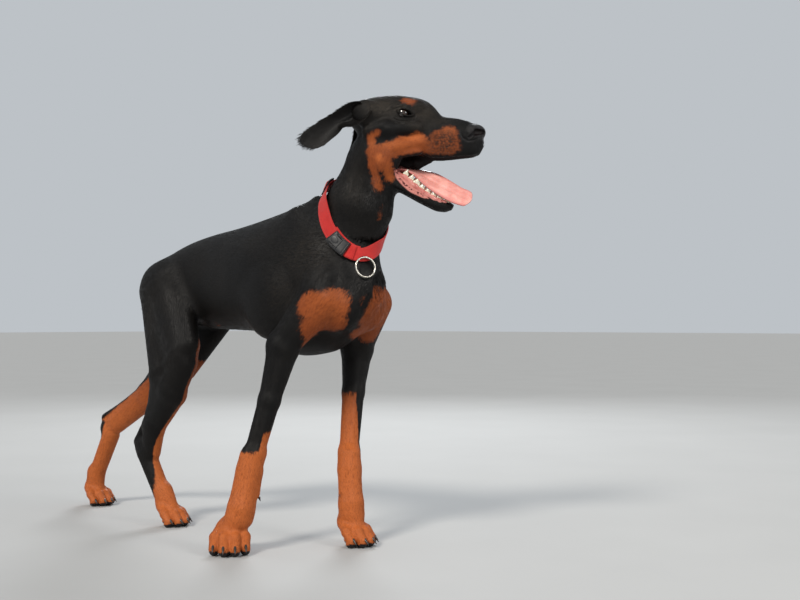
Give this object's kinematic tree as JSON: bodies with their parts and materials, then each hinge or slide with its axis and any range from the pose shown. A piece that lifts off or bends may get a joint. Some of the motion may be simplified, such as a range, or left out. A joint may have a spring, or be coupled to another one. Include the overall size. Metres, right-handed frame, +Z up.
{
  "type": "doberman pinscher figure",
  "caption": "Life-size standing young doberman pinscher with raised head, open mouth and blown-back ears, wearing a nylon collar with buckle and welded ring.",
  "frame": {"origin": "on the floor, below the centre of the model's bounding box", "axes": "+X the way the body faces, +Y the animal's left, +Z up; the head is turned about 30 degrees to the left"},
  "size_m": [1.0376, 0.3538, 0.8188],
  "materials": {
    "coat_black": "short sleek black hair",
    "coat_tan": "short sleek rust-tan hair",
    "nose_leather": "moist black nose skin",
    "tongue_flesh": "moist pink",
    "eye_dark": "dark brown, glossy",
    "webbing_red": "woven nylon webbing",
    "buckle_black": "moulded plastic",
    "ring_steel": "polished steel"
  },
  "bodies": {
    "root": {"head": "coat_black", "nose": "nose_leather", "lower_jaw": "coat_black", "tongue": "tongue_flesh", "ear_right": "coat_black", "ear_left": "coat_black", "eye_right": "eye_dark", "eye_left": "eye_dark", "neck": "coat_black", "torso": "coat_black", "tail": "coat_black", "foreleg_right": "coat_black", "foreleg_left": "coat_black", "hindleg_right": "coat_black", "hindleg_left": "coat_black", "paw_front_right": "coat_tan", "paw_front_left": "coat_tan", "paw_hind_right": "coat_tan", "paw_hind_left": "coat_tan", "collar_band": "webbing_red", "collar_buckle": "buckle_black", "collar_keeper": "webbing_red", "collar_slide": "buckle_black", "collar_ring": "ring_steel"}
  },
  "joints": []
}
